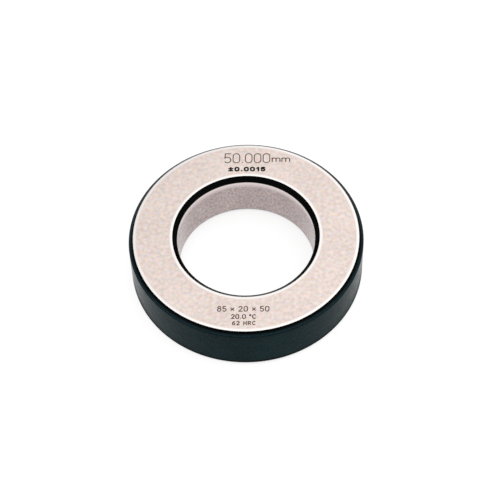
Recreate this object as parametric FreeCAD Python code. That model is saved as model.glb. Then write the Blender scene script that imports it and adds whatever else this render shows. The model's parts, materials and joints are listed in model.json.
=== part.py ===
import FreeCAD, Part
import os

# Setting ring gauge of 50 mm nominal size: a single ring of hardened steel, turned from bar,
# then ground flat on both faces and lapped in the bore. All sizes are in millimetres.
# The origin is the centre of the bottom face, and +Z runs up along the axis of the bore.

# Driving dimensions
bore_diameter = 50.000          # the lapped gauging bore, which is the ring's nominal size
outside_diameter = 85.0
thickness = 20.0                # from one ground face to the other
bore_chamfer = 1.6              # leg of the 45 degree lead-in at each end of the bore
rim_chamfer = 1.6               # leg of the 45 degree chamfer between each face and the rim

# Edge breaks: the small flat stoned along each corner of the section takes this much off
# the surface on either side of the corner
bore_edge_break = 0.10          # between the bore and its lead-in
face_edge_break = 0.06          # between a ground face and either chamfer
rim_edge_break = 0.20           # between the rim and its chamfer

bore_radius = bore_diameter / 2
rim_radius = outside_diameter / 2
full_turn = 360.0


def half_section():
    """Right-hand half of the ring's section: each corner with the edge break it gets."""

    def at(radius, height):
        return FreeCAD.Vector(radius, 0, height)

    return [
        (at(bore_radius, bore_chamfer), bore_edge_break),
        (at(bore_radius + bore_chamfer, 0), face_edge_break),
        (at(rim_radius - rim_chamfer, 0), face_edge_break),
        (at(rim_radius, rim_chamfer), rim_edge_break),
        (at(rim_radius, thickness - rim_chamfer), rim_edge_break),
        (at(rim_radius - rim_chamfer, thickness), face_edge_break),
        (at(bore_radius + bore_chamfer, thickness), face_edge_break),
        (at(bore_radius, thickness - bore_chamfer), bore_edge_break),
    ]


def broken_outline(corners):
    """Closed wire through the corners, each one cut back by its edge break."""
    outline = []
    for index, (corner, edge_break) in enumerate(corners):
        before = corners[index - 1][0]
        after = corners[(index + 1) % len(corners)][0]
        outline.append(corner + (before - corner).normalize() * edge_break)
        outline.append(corner + (after - corner).normalize() * edge_break)
    return Part.makePolygon(outline + outline[:1])


def gauge_ring():
    """The ring: its chamfered and edge-broken section turned once about the bore's axis."""
    section = Part.Face(broken_outline(half_section()))
    origin = FreeCAD.Vector(0, 0, 0)
    bore_axis = FreeCAD.Vector(0, 0, 1)
    return section.revolve(origin, bore_axis, full_turn)


os.makedirs("parts", exist_ok=True)
gauge_ring().exportStep("parts/gauge_ring.step")
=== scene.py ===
import json
import math
from typing import NamedTuple

import bmesh
import bpy
from mathutils import Matrix, Vector
from mathutils.geometry import delaunay_2d_cdt


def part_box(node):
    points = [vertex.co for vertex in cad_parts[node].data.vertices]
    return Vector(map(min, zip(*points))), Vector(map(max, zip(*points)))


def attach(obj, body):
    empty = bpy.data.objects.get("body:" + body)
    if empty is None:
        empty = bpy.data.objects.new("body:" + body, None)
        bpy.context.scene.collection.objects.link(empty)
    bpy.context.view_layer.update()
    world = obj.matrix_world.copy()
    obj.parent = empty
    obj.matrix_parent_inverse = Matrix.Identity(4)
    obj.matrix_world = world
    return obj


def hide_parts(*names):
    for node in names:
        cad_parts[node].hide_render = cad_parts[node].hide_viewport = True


# The looks of the 50 mm setting ring gauge: a hardened steel ring with finely ground faces, a
# lapped bore, and black oxide on the rim and the chamfers. The ring is turned here once more,
# with rounded corners and with faces that roll off a little along their edges. Its top face
# carries engraved and black-filled marks that are cut into the mesh. Lengths are in metres
# unless a name, a comment or a docstring says millimetres.

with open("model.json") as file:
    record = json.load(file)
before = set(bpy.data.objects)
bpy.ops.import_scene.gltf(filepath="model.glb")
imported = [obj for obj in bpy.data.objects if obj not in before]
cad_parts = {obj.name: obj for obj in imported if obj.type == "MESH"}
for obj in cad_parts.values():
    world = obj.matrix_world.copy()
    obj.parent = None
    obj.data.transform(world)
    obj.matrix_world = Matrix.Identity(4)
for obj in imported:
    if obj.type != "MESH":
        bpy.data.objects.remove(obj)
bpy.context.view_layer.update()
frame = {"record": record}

MM = 0.001
NODE = "gauge_ring"
BODY = "root"

# Sizes that the frame gives
ring_low, ring_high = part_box(NODE)
bore_mount = next(m for m in frame["record"]["mounts"] if m["name"] == "gauging_bore")
BORE_RADIUS = bore_mount["dims"]["r_mm"] * MM
RIM_RADIUS = ring_high.x
THICKNESS = ring_high.z - ring_low.z

# Sizes of the ring's section that repeat the solid's
CHAMFER = 1.6 * MM
BORE_ROUND = 0.10 * MM          # how far each rounded corner reaches along its two sides
FACE_ROUND = 0.06 * MM
RIM_ROUND = 0.20 * MM

# Roll-off of the faces, which the solid doesn't have
EDGE_ROLL = 0.55 * MM           # distance from a face's edge to the middle of its roll-off
ROLL_ROUND = 0.48 * MM          # how far the roll-off reaches to either side of its middle
EDGE_DROP = 0.07 * MM           # how far the face has sunk at its edge

# Fineness of the mesh
STEPS_AROUND = 360
STEPS_PER_CORNER = 4
STEPS_PER_LETTER_ARC = 12
STEPS_PER_STROKE_END = 4

# Camera, fitted to the edges of the ring in the photograph
CAMERA_DISTANCE = 0.600
CAMERA_AZIMUTH = math.radians(2.2)
CAMERA_ELEVATION = math.radians(55.568)
CAMERA_ROLL = math.radians(-1.993)
CAMERA_AIM = Vector((1.271 * MM, 0.133 * MM, 10.0 * MM))
CAMERA_LENS = 118.04            # in millimetres, as is the width of the sensor
SENSOR_WIDTH = 36.0


# Node materials

class Finish:
    """A Principled material being built, with its coordinates in millimetres of the ring."""

    def __init__(self, name):
        self.material = bpy.data.materials.new(name)
        self.material.use_nodes = True
        self.tree = self.material.node_tree
        self.shader = self.tree.nodes["Principled BSDF"]
        metres = self.node("ShaderNodeTexCoord").outputs["Object"]
        self.place = self.times(metres, (1 / MM, 1 / MM, 1 / MM))

    def node(self, kind, inputs=None, **settings):
        made = self.tree.nodes.new(kind)
        for name, value in settings.items():
            setattr(made, name, value)
        for name, value in (inputs or {}).items():
            self.feed(made.inputs[name], value)
        return made

    def feed(self, socket, value):
        if isinstance(value, bpy.types.NodeSocket):
            self.tree.links.new(value, socket)
        else:
            socket.default_value = value

    def set(self, **inputs):
        """Feeds the shader's sockets; an underscore in a name stands for a space."""
        for name, value in inputs.items():
            self.feed(self.shader.inputs[name.replace("_", " ")], value)

    def times(self, vector, factors):
        """A place stretched, or a colour tinted: each part times its own factor."""
        inputs = {0: vector, 1: factors}
        return self.node("ShaderNodeVectorMath", inputs, operation="MULTIPLY").outputs[0]

    def math(self, operation, first, second):
        inputs = {0: first, 1: second}
        return self.node("ShaderNodeMath", inputs, operation=operation).outputs[0]

    def noise(self, scale, detail=2.0, vector=None):
        inputs = {"Vector": vector or self.place, "Scale": scale, "Detail": detail}
        return self.node("ShaderNodeTexNoise", inputs).outputs[0]

    def spread(self, noise, low, high):
        """A noise spread over low to high: by itself it rarely leaves its usual range."""
        usual_low = 0.35
        usual_high = 0.65
        return self.remap(noise, usual_low, usual_high, low, high)

    def remap(self, value, from_low, from_high, to_low, to_high):
        inputs = {
            "Value": value,
            "From Min": from_low,
            "From Max": from_high,
            "To Min": to_low,
            "To Max": to_high,
        }
        return self.node("ShaderNodeMapRange", inputs).outputs[0]

    def mixed(self, factor, first, second):
        node = self.node("ShaderNodeMix", data_type="RGBA")
        self.feed(node.inputs["Factor"], factor)
        colours = [s for s in node.inputs if s.type == "RGBA"]
        for socket, colour in zip(colours, (first, second)):
            self.feed(socket, colour)
        return next(s for s in node.outputs if s.type == "RGBA")

    def bump(self, height, height_mm, strength):
        inputs = {"Height": height, "Distance": height_mm * MM, "Strength": strength}
        return self.node("ShaderNodeBump", inputs).outputs[0]

    def height(self):
        """Height of the shaded point, in millimetres."""
        return self.node("ShaderNodeSeparateXYZ", {0: self.place}).outputs["Z"]

    def radius(self):
        """Distance of the shaded point from the axis of the bore, in millimetres."""
        flat = self.times(self.place, (1, 1, 0))
        return self.node("ShaderNodeVectorMath", {0: flat}, operation="LENGTH").outputs["Value"]

    def unrolled(self):
        """Place on the bore's wall as if it were unrolled: length round the axis, then height."""
        parts = self.node("ShaderNodeSeparateXYZ", {0: self.place}).outputs
        angle = self.math("ARCTAN2", parts["Y"], parts["X"])
        arc_length = self.math("MULTIPLY", angle, BORE_RADIUS / MM)
        return self.node("ShaderNodeCombineXYZ", {"X": arc_length, "Y": parts["Z"]}).outputs[0]

    def patches(self, scale, softness):
        """0 to 1 in patches about 1 / scale mm across, on fainter clouds that are far wider."""
        cloud_widening = 12
        grain_share = 0.75
        middle = 0.5
        fine = self.noise(scale, detail=3.0)
        wide = self.noise(scale / cloud_widening, detail=3.0)
        grain = self.math("MULTIPLY", fine, grain_share)
        clouds = self.math("MULTIPLY", wide, 1 - grain_share)
        both = self.math("ADD", grain, clouds)
        return self.remap(both, middle - softness, middle + softness, 0.0, 1.0)

    def tinted(self, colour, scale, cool, warm):
        """The colour, with its hue drifting between a cooler and a warmer one."""
        drift = self.spread(self.noise(scale), low=0.0, high=1.0)
        return self.times(colour, self.mixed(drift, cool, warm))

    def highlight_band(self, distance, tone, waver, full, end, most=1.0):
        """How strong the painted highlight band is near an edge: the most up to full mm from it,
        nothing beyond end mm, and both of these lines uneven by waver mm."""
        uneven = self.math("ADD", distance, self.remap(tone, 0.0, 1.0, -waver, waver))
        return self.remap(uneven, full, end, most, 0.0)


def grey(level):
    return (level, level, level, 1.0)


# Tints that a steel or an oxide drifts between, and the black of deepest oxide and painted shade
STEEL_COOL = (0.956, 1.015, 1.031, 1.0)
STEEL_WARM = (1.038, 0.981, 0.962, 1.0)
STEEL_LILAC = (1.006, 0.975, 1.056, 1.0)
STEEL_STRAW = (1.000, 1.015, 0.925, 1.0)
BORE_COOL = (0.920, 1.030, 1.050, 1.0)
BORE_WARM = (1.080, 0.965, 0.950, 1.0)
OXIDE_COOL = (0.35, 1.10, 1.06, 1.0)
OXIDE_WARM = (1.95, 0.90, 0.94, 1.0)
BLACKEST = (0.001, 0.001, 0.001, 1.0)


def ground_steel():
    """Both faces: fine grain and grinding lines, and a painted highlight along both edges."""
    finish = Finish("ground_steel")
    lines_per_mm = (0.10, 7.0, 1.0)
    lines = finish.noise(1.0, detail=3.0, vector=finish.times(finish.place, lines_per_mm))
    tone = finish.patches(scale=0.70, softness=0.12)
    deep = (0.720, 0.615, 0.574, 1.0)
    pale = (0.870, 0.760, 0.711, 1.0)
    # bright is the colour of the painted highlight along the inner and outer edge
    bright = (0.990, 0.960, 0.940, 1.0)
    body = finish.mixed(tone, deep, pale)
    body = finish.tinted(body, scale=0.60, cool=STEEL_COOL, warm=STEEL_WARM)
    body = finish.tinted(body, scale=0.85, cool=STEEL_LILAC, warm=STEEL_STRAW)
    radius = finish.radius()
    inside = finish.math("SUBTRACT", radius, (BORE_RADIUS + CHAMFER) / MM)
    outside = finish.math("SUBTRACT", (RIM_RADIUS - CHAMFER) / MM, radius)
    nearest_edge = finish.math("MINIMUM", inside, outside)
    # Painted highlight: the steel is painted nearly white in a band along both edges of the face
    painted_highlight = finish.highlight_band(nearest_edge, tone, waver=0.12, full=0.65, end=1.25)
    finish.set(
        Base_Color=finish.mixed(painted_highlight, body, bright),
        Metallic=1.0,
        Roughness=finish.spread(lines, low=0.34, high=0.44),
        Normal=finish.bump(lines, height_mm=0.002, strength=0.35),
    )
    return finish.material


def lapped_steel():
    """The bore: smoother than the faces, with faint lapping lines round it. Its steel is painted
    darker than the faces' steel as painted shade, a thin black line runs along the upper
    mouth, and a painted highlight lies below that."""
    finish = Finish("lapped_steel")
    lines_per_mm = (0.15, 9.0, 1.0)
    lines = finish.noise(1.0, detail=3.0, vector=finish.times(finish.unrolled(), lines_per_mm))
    tone = finish.patches(scale=1.20, softness=0.13)
    # Painted shade: the same steel as the faces, painted darker for the shade inside the bore
    deep = (0.309, 0.254, 0.251, 1.0)
    pale = (0.499, 0.425, 0.418, 1.0)
    # bright is the colour of the painted highlight below the mouth
    bright = (0.845, 0.758, 0.744, 1.0)
    body = finish.mixed(tone, deep, pale)
    body = finish.tinted(body, scale=1.80, cool=BORE_COOL, warm=BORE_WARM)
    body = finish.tinted(body, scale=1.40, cool=STEEL_LILAC, warm=STEEL_STRAW)
    below_mouth = finish.math("SUBTRACT", (THICKNESS - CHAMFER) / MM, finish.height())
    # Painted highlight: a band below the mouth, painted towards the bright colour
    painted_highlight = finish.highlight_band(below_mouth, tone, waver=0.25, full=1.0, end=3.4, most=0.65)
    black_to = 0.40
    blur = 0.04
    clean = finish.remap(below_mouth, black_to - blur, black_to + blur, 0.0, 1.0)
    finish.set(
        Base_Color=finish.mixed(clean, BLACKEST, finish.mixed(painted_highlight, body, bright)),
        Metallic=1.0,
        Roughness=finish.spread(lines, low=0.20, high=0.30),
        Normal=finish.bump(lines, height_mm=0.001, strength=0.15),
    )
    return finish.material


def black_oxide(name, deep, pale, specular, roughness, painted_shade_fades=()):
    """Blackened steel: a dark blue-green satin with a fine grain, and with wide shallow stains
    that show at a low angle. Each fade is painted shade that darkens the colour to black:
    (height of the blackest, height of the full colour), in millimetres."""
    finish = Finish(name)
    drawn_upwards = (1.0, 1.0, 0.8)
    stains = finish.noise(scale=0.60, vector=finish.times(finish.place, drawn_upwards))
    tone = finish.patches(scale=1.60, softness=0.12)
    colour = finish.mixed(tone, deep, pale)
    colour = finish.tinted(colour, scale=1.80, cool=OXIDE_COOL, warm=OXIDE_WARM)
    # Painted shade: the colour fades to black towards each fade's blackest height
    for blackest, full in painted_shade_fades:
        strength = finish.remap(finish.height(), blackest, full, 0.0, 1.0)
        colour = finish.mixed(strength, BLACKEST, colour)
    waver = 0.05
    finish.set(
        Base_Color=colour,
        Roughness=finish.spread(stains, low=roughness - waver, high=roughness + waver),
        Specular_IOR_Level=specular,
        Normal=finish.bump(stains, height_mm=0.10, strength=1.0),
    )
    return finish.material


def mark_floor(name, colour, roughness):
    """Bottom and walls of a cut mark, rough and stained dark."""
    finish = Finish(name)
    grain = finish.noise(scale=6.0)
    contrast = 0.3
    lighter = tuple(c * (1 + contrast) for c in colour) + (1.0,)
    darker = tuple(c * (1 - contrast) for c in colour) + (1.0,)
    finish.set(
        Base_Color=finish.mixed(finish.spread(grain, low=0.0, high=1.0), darker, lighter),
        Roughness=roughness,
        Specular_IOR_Level=0.2,
        Normal=finish.bump(grain, height_mm=0.01, strength=0.5),
    )
    return finish.material


# Single-stroke letters. A glyph is (width, strokes): each stroke is a smooth open line of
# points, in units of the letter's height, and sharp corners are where two strokes meet.

def line(*points):
    return list(points)


def arc(centre_x, centre_y, radius_x, radius_y, start, end):
    """Points on an ellipse from one angle to another, in degrees, anticlockwise if end > start."""
    steps = STEPS_PER_LETTER_ARC
    angles = [math.radians(start + (end - start) * i / steps) for i in range(steps + 1)]
    return [(centre_x + radius_x * math.cos(a), centre_y + radius_y * math.sin(a)) for a in angles]


def loop(centre_x, centre_y, radius_x, radius_y):
    """A closed ellipse as its left and its right half."""
    return [
        arc(centre_x, centre_y, radius_x, radius_y, 90, 270),
        arc(centre_x, centre_y, radius_x, radius_y, -90, 90),
    ]


def zero():
    """A tall zero: straight sides joined by half circles, as its left and its right half."""
    radius = 0.29
    upper = arc(radius, 1 - radius, radius, radius, 90, 180)
    lower = arc(radius, radius, radius, radius, 180, 270)
    left = upper + lower
    right = [(2 * radius - x, y) for x, y in left]
    return 2 * radius, [left, right]


GLYPHS = {
    " ": (0.20, []),
    "0": zero(),
    "1": (0.30, [line((0.0, 0.76), (0.26, 1.0)), line((0.26, 1.0), (0.26, 0.0))]),
    "2": (0.56, [
        arc(0.28, 0.72, 0.27, 0.28, 165, -38) + line((0.02, 0.0)),
        line((0.02, 0.0), (0.56, 0.0)),
    ]),
    "5": (0.56, [
        line((0.08, 1.0), (0.53, 1.0)),
        line((0.08, 1.0), (0.04, 0.52)),
        arc(0.27, 0.31, 0.29, 0.31, 142, 0),
        arc(0.27, 0.31, 0.29, 0.31, 0, -140),
    ]),
    "6": (0.56, [
        arc(0.54, 0.30, 0.54, 0.70, 100, 180),
        *loop(0.28, 0.29, 0.28, 0.29),
    ]),
    "8": (0.56, [*loop(0.28, 0.76, 0.23, 0.24), *loop(0.28, 0.27, 0.28, 0.27)]),
    ".": (0.10, [line((0.05, 0.03), (0.05, 0.06))]),
    "±": (0.60, [
        line((0.30, 0.34), (0.30, 0.94)),
        line((0.0, 0.64), (0.60, 0.64)),
        line((0.0, 0.06), (0.60, 0.06)),
    ]),
    "×": (0.50, [line((0.0, 0.18), (0.50, 0.68)), line((0.0, 0.68), (0.50, 0.18))]),
    "m": (1.40, [
        line((0.0, 0.0), (0.0, 1.0)),
        arc(0.35, 0.65, 0.35, 0.35, 180, 0) + line((0.70, 0.0)),
        arc(1.05, 0.65, 0.35, 0.35, 180, 0) + line((1.40, 0.0)),
    ]),
    "°": (0.26, loop(0.13, 0.86, 0.13, 0.14)),
    "C": (0.58, [arc(0.33, 0.5, 0.33, 0.5, 45, 315)]),
    "H": (0.56, [
        line((0.0, 0.0), (0.0, 1.0)),
        line((0.56, 0.0), (0.56, 1.0)),
        line((0.0, 0.5), (0.56, 0.5)),
    ]),
    "R": (0.56, [
        line((0.0, 0.0), (0.0, 1.0)),
        line((0.0, 1.0), (0.30, 1.0)),
        arc(0.30, 0.75, 0.24, 0.25, 90, -90),
        line((0.30, 0.5), (0.0, 0.5)),
        line((0.30, 0.5), (0.56, 0.0)),
    ]),
}


class Mark(NamedTuple):
    """One line of text on the top face. Lengths are in millimetres, to the strokes' middle."""
    text: str
    left: float
    right: float
    baseline: float
    height: float
    widening: float             # how much wider than its drawing each letter is
    stroke: float
    depth: float
    surface: str


MARKS = [
    Mark("50.000", -8.4, 8.5, 32.7, 4.25, 1.0, 0.37, 0.08, "engraved"),
    Mark("mm", 9.4, 15.9, 33.2, 1.65, 1.25, 0.42, 0.06, "engraved"),
    Mark("±0.0015", -6.6, 6.6, 28.95, 1.55, 1.40, 0.66, 0.03, "filled"),
    Mark("85 × 20 × 50", -9.6, 8.4, -32.6, 2.0, 1.05, 0.37, 0.05, "engraved"),
    Mark("20.0 °C", -4.7, 3.7, -35.6, 1.6, 1.1, 0.38, 0.05, "engraved"),
    Mark("62 HRC", -4.3, 3.6, -38.2, 1.4, 1.1, 0.36, 0.05, "engraved"),
]


def stroke_outline(points, width):
    """Outline of a line drawn with a round-ended tool, anticlockwise."""
    half = width / 2
    least_cosine = 0.5          # keeps the outline near the line where that turns sharply
    directions = [(Vector(b) - Vector(a)).normalized() for a, b in zip(points, points[1:])]
    sides = []
    for index, point in enumerate(points):
        before = directions[max(index - 1, 0)]
        after = directions[min(index, len(directions) - 1)]
        along = (before + after).normalized()
        offset = Vector((-along.y, along.x)) * half / max(along.dot(after), least_cosine)
        sides.append((Vector(point), offset))

    def cap(centre, direction):
        steps = STEPS_PER_STROKE_END
        start = math.atan2(direction.y, direction.x) - math.pi / 2
        turns = [start + math.pi * i / steps for i in range(1, steps)]
        return [centre + Vector((math.cos(a), math.sin(a))) * half for a in turns]

    right = [point - offset for point, offset in sides]
    left = [point + offset for point, offset in reversed(sides)]
    return right + cap(sides[-1][0], directions[-1]) + left + cap(sides[0][0], -directions[0])


def mark_outlines(mark):
    """Outlines in millimetres of every stroke of one mark, its letters spread evenly."""
    glyphs = [GLYPHS[letter] for letter in mark.text]
    across = mark.height * mark.widening
    total = sum(glyph_width for glyph_width, _ in glyphs) * across
    gap = (mark.right - mark.left - total) / (len(glyphs) - 1)
    outlines = []
    x = mark.left
    for glyph_width, strokes in glyphs:
        for stroke in strokes:
            placed = [(x + px * across, mark.baseline + py * mark.height) for px, py in stroke]
            outlines.append(stroke_outline(placed, mark.stroke))
        x += glyph_width * across + gap
    return outlines


# The ring's mesh

TOP_MM = THICKNESS / MM
MATERIALS = {
    "ground": ground_steel(),
    "lapped": lapped_steel(),
    # Oxide, with painted shade: the bore's chamfers are painted nearly black, darker than the
    # outer ones
    "mouth": black_oxide(
        "mouth_oxide",
        deep=BLACKEST,
        pale=(0.002, 0.003, 0.003, 1.0),
        specular=0.020,
        roughness=0.20,
    ),
    "chamfer": black_oxide(
        "chamfer_oxide",
        deep=(0.007, 0.020, 0.026, 1.0),
        pale=(0.012, 0.033, 0.041, 1.0),
        specular=0.025,
        roughness=0.20,
        # Painted shade: black towards the floor on the lower chamfer and towards the top face on
        # the upper
        painted_shade_fades=((0.5, 1.0), (TOP_MM - 0.58, TOP_MM - 1.20)),
    ),
    "rim": black_oxide(
        "rim_oxide",
        deep=(0.001, 0.012, 0.016, 1.0),
        pale=(0.006, 0.031, 0.036, 1.0),
        specular=0.024,
        roughness=0.22,
        # Painted shade: the rim is black at its foot and a little darker towards the top
        painted_shade_fades=((2.2, 3.2), (TOP_MM + 6.0, TOP_MM - 4.5)),
    ),
    "engraved": mark_floor("mark_engraved", colour=(0.110, 0.075, 0.055), roughness=0.6),
    "filled": mark_floor("mark_filled", colour=(0.003, 0.006, 0.007), roughness=0.5),
}
SURFACES = list(MATERIALS)


def section_corners():
    """(radius, height, reach of the rounding, surface of the corner, surface after it), in
    order from the foot of the bore, out along the bottom face, up the rim and back."""
    t = THICKNESS
    inner = BORE_RADIUS + CHAMFER
    outer = RIM_RADIUS - CHAMFER
    return [
        (BORE_RADIUS, CHAMFER, BORE_ROUND, "mouth", "mouth"),
        (inner, EDGE_DROP, FACE_ROUND, "mouth", "ground"),
        (inner + EDGE_ROLL, 0.0, ROLL_ROUND, "ground", "ground"),
        (outer - EDGE_ROLL, 0.0, ROLL_ROUND, "ground", "ground"),
        (outer, EDGE_DROP, FACE_ROUND, "chamfer", "chamfer"),
        (RIM_RADIUS, CHAMFER, RIM_ROUND, "rim", "rim"),
        (RIM_RADIUS, t - CHAMFER, RIM_ROUND, "rim", "chamfer"),
        (outer, t - EDGE_DROP, FACE_ROUND, "chamfer", "ground"),
        (outer - EDGE_ROLL, t, ROLL_ROUND, "ground", "top"),
        (inner + EDGE_ROLL, t, ROLL_ROUND, "ground", "ground"),
        (inner, t - EDGE_DROP, FACE_ROUND, "mouth", "mouth"),
        (BORE_RADIUS, t - CHAMFER, BORE_ROUND, "mouth", "lapped"),
    ]


def rounded_corner(before, corner, after, reach):
    """Points of the arc that touches both sides of a corner at the given reach from it."""
    to_before = (before - corner).normalized()
    to_after = (after - corner).normalized()
    half_angle = to_before.angle(to_after) / 2
    radius = reach * math.tan(half_angle)
    inward = (to_before + to_after).normalized()
    centre = corner + inward * (radius / math.sin(half_angle))
    start = corner + to_before * reach - centre
    turn = math.pi - 2 * half_angle
    if start.cross(corner + to_after * reach - centre) < 0:
        turn = -turn
    points = []
    for step in range(STEPS_PER_CORNER + 1):
        rotation = Matrix.Rotation(turn * step / STEPS_PER_CORNER, 2)
        points.append(centre + rotation @ start)
    return points


def section_stations():
    """Every point of the section as (radius, height, surface up to the next point, sharp)."""
    corners = section_corners()
    points = [Vector(corner[:2]) for corner in corners]
    stations = []
    for index, (_, _, reach, corner_surface, next_surface) in enumerate(corners):
        after = points[(index + 1) % len(points)]
        arc_points = rounded_corner(points[index - 1], points[index], after, reach)
        for step, point in enumerate(arc_points):
            last = step == STEPS_PER_CORNER
            surface = next_surface if last else corner_surface
            stations.append((point.x, point.y, surface, last or step == 0))
    return stations


def around(radius):
    """Points on a circle about the bore's axis."""
    turns = [2 * math.pi * i / STEPS_AROUND for i in range(STEPS_AROUND)]
    return [(radius * math.cos(a), radius * math.sin(a)) for a in turns]


def turned_surfaces(mesh):
    """All of the ring's skin but the top face. Returns the top face's (outer, inner) radius."""
    stations = section_stations()
    height = ring_low.z
    rings = [[mesh.verts.new((x, y, height + z)) for x, y in around(r)] for r, z, _, _ in stations]
    top_radii = None
    for index, (radius, _, surface, _) in enumerate(stations):
        here = rings[index]
        there = rings[(index + 1) % len(rings)]
        if surface == "top":
            top_radii = (radius, stations[(index + 1) % len(rings)][0])
            continue
        for i in range(STEPS_AROUND):
            j = (i + 1) % STEPS_AROUND
            face = mesh.faces.new((here[i], here[j], there[j], there[i]))
            face.material_index = SURFACES.index(surface)
            face.smooth = True
    for ring, (_, _, _, sharp) in zip(rings, stations):
        for i in range(STEPS_AROUND):
            edge = mesh.edges.get((ring[i], ring[(i + 1) % STEPS_AROUND]))
            edge.smooth = not sharp
    return top_radii


def top_face(mesh, outer_radius, inner_radius):
    """The flat top face, its triangles fitted round the marks, and each mark cut down."""
    to_mm = 1 / MM
    outlines = [
        [Vector(p) * to_mm for p in around(outer_radius)],
        [Vector(p) * to_mm for p in around(inner_radius)],
    ]
    owners = ["plate", "hole"]
    for number, mark in enumerate(MARKS):
        for outline in mark_outlines(mark):
            outlines.append(outline)
            owners.append(number)

    points = []
    loops = []
    for outline in outlines:
        loops.append(list(range(len(points), len(points) + len(outline))))
        points.extend(outline)
    only_inside = 1
    weld_mm = 1e-4
    flat = delaunay_2d_cdt(points, [], loops, only_inside, weld_mm)
    places, _, triangles, _, _, sources = flat

    level = ring_high.z
    verts = [mesh.verts.new((p.x * MM, p.y * MM, level)) for p in places]
    cut = [[] for _ in MARKS]
    for triangle, source in zip(triangles, sources):
        found = {owners[i] for i in source}
        if "hole" in found:
            continue
        face = mesh.faces.new([verts[i] for i in triangle])
        face.material_index = SURFACES.index("ground")
        for number in found - {"plate"}:
            cut[number].append(face)
    for vert in [v for v in verts if not v.link_faces]:
        mesh.verts.remove(vert)

    for mark, region in zip(MARKS, cut):
        made = bmesh.ops.extrude_face_region(mesh, geom=region)["geom"]
        bmesh.ops.delete(mesh, geom=region, context="FACES")
        lowered = [g for g in made if isinstance(g, bmesh.types.BMVert)]
        bmesh.ops.translate(mesh, verts=lowered, vec=(0, 0, -mark.depth * MM))
        for face in {f for v in lowered for f in v.link_faces}:
            face.material_index = SURFACES.index(mark.surface)


def make_ring():
    """The dressed ring, standing for the solid."""
    mesh = bmesh.new()
    outer_radius, inner_radius = turned_surfaces(mesh)
    top_face(mesh, outer_radius, inner_radius)
    weld = 1e-7
    bmesh.ops.remove_doubles(mesh, verts=mesh.verts, dist=weld)
    bmesh.ops.recalc_face_normals(mesh, faces=mesh.faces)
    data = bpy.data.meshes.new("ring")
    mesh.to_mesh(data)
    mesh.free()
    ring = bpy.data.objects.new("ring", data)
    bpy.context.scene.collection.objects.link(ring)
    for name in SURFACES:
        data.materials.append(MATERIALS[name])
    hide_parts(NODE)
    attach(ring, BODY)


# Studio

FLOOR_GREY = 0.42
FLOOR_GLOW = 0.78               # what is added to the lit paper so that it reads as white
CONTACT_REACH = 0.7 * MM        # how far from the ring's foot the glow is dimmed, as a painted contact shadow
FOOT_REACH = 2.2 * MM           # reach from the rim's foot of the shade painted into its reflection
FOOT_DEPTH = 4.0                # power that sets how dark that gets


def floor_paper():
    """Pale paper that reads as white and keeps its shadow, with painted shade round the ring's
    foot.
    """
    finish = Finish("floor_paper")
    ray = finish.node("ShaderNodeLightPath").outputs
    reflected = finish.math("MAXIMUM", ray["Is Glossy Ray"], ray["Is Transmission Ray"])
    seen = finish.math("MAXIMUM", ray["Is Camera Ray"], reflected)
    # Painted contact shadow: ambient occlusion dims the glow next to the ring's foot
    open_sky = finish.node("ShaderNodeAmbientOcclusion", {"Distance": CONTACT_REACH}).outputs["AO"]
    # Painted shade: outside the bore, the paper darkens in reflections near the rim's foot
    wide_sky = finish.node("ShaderNodeAmbientOcclusion", {"Distance": FOOT_REACH}).outputs["AO"]
    dimmed = finish.math("SUBTRACT", 1.0, finish.math("POWER", wide_sky, FOOT_DEPTH))
    outside = finish.math("GREATER_THAN", finish.radius(), BORE_RADIUS / MM)
    painted_foot_shade = finish.math("MULTIPLY", finish.math("MULTIPLY", reflected, outside), dimmed)
    glow = finish.math("MULTIPLY", open_sky, finish.math("SUBTRACT", 1.0, painted_foot_shade))
    lit = finish.math("MULTIPLY", seen, glow)
    # The painted shade also darkens the paper's colour in those reflections
    finish.set(
        Base_Color=finish.mixed(painted_foot_shade, grey(FLOOR_GREY), grey(0.0)),
        Roughness=0.9,
        Specular_IOR_Level=0.0,
        Emission_Color=grey(1.0),
        Emission_Strength=finish.math("MULTIPLY", lit, FLOOR_GLOW),
    )
    finish.material.cycles.emission_sampling = "NONE"
    return finish.material


def make_floor():
    """A plain pale floor, level with the ring's bottom face."""
    reach = 3.0
    mesh = bmesh.new()
    corners = [(-reach, -reach), (reach, -reach), (reach, reach), (-reach, reach)]
    mesh.faces.new([mesh.verts.new((x, y, ring_low.z)) for x, y in corners])
    data = bpy.data.meshes.new("floor")
    mesh.to_mesh(data)
    mesh.free()
    floor = bpy.data.objects.new("floor", data)
    bpy.context.scene.collection.objects.link(floor)
    data.materials.append(floor_paper())


WORLD_LIGHT = 0.60


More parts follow.
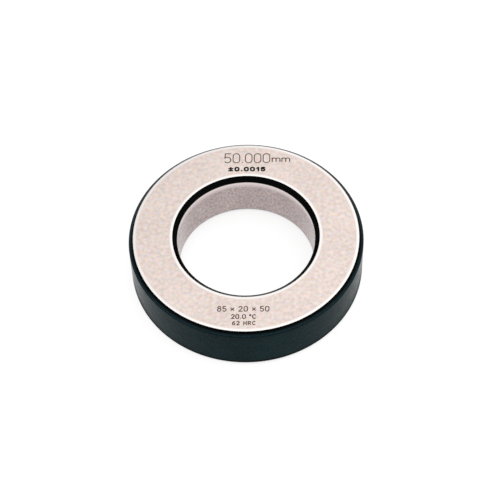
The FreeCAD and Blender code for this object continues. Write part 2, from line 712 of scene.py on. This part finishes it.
def add_panel(name, direction, distance, size, radiance):
    """A square soft light of even brightness that faces the ring."""
    data = bpy.data.lights.new(name, "AREA")
    data.shape = "SQUARE"
    data.size = size
    data.energy = radiance * math.pi * size * size
    panel = bpy.data.objects.new(name, data)
    towards = Vector(direction).normalized()
    panel.location = towards * distance
    panel.rotation_euler = towards.to_track_quat("Z", "Y").to_euler()
    bpy.context.scene.collection.objects.link(panel)


def light_the_studio():
    """An even white world, a soft light high above, and a smaller one at each front side."""
    world = bpy.data.worlds.new("studio")
    world.use_nodes = True
    background = world.node_tree.nodes["Background"].inputs
    background["Color"].default_value = grey(1.0)
    background["Strength"].default_value = WORLD_LIGHT
    bpy.context.scene.world = world
    overhead = (0.22, 0.265, 0.95)
    right_front = (0.75, -0.42, 0.50)
    left_front = (-0.75, -0.42, 0.50)
    add_panel("overhead_panel", overhead, distance=0.62, size=0.82, radiance=0.55)
    add_panel("right_panel", right_front, distance=0.85, size=0.70, radiance=0.65)
    add_panel("left_panel", left_front, distance=0.85, size=0.70, radiance=0.50)


def add_camera():
    """The photograph's view: tilted down at the ring, rolled, then turned about the bore."""
    back = Vector((0, -math.cos(CAMERA_ELEVATION), math.sin(CAMERA_ELEVATION)))
    level_right = Vector((1, 0, 0))
    level_up = back.cross(level_right)
    right = level_right * math.cos(CAMERA_ROLL) + level_up * math.sin(CAMERA_ROLL)
    up = level_up * math.cos(CAMERA_ROLL) - level_right * math.sin(CAMERA_ROLL)
    position = CAMERA_AIM + back * CAMERA_DISTANCE
    axes = Matrix((right, up, back)).transposed().to_4x4()
    data = bpy.data.cameras.new("camera")
    data.lens = CAMERA_LENS
    data.sensor_width = SENSOR_WIDTH
    camera = bpy.data.objects.new("camera", data)
    turned = Matrix.Rotation(CAMERA_AZIMUTH, 4, "Z")
    camera.matrix_world = turned @ Matrix.Translation(position) @ axes
    bpy.context.scene.collection.objects.link(camera)
    bpy.context.scene.camera = camera


make_ring()
make_floor()
light_the_studio()
add_camera()
bpy.context.scene.view_settings.view_transform = "Standard"
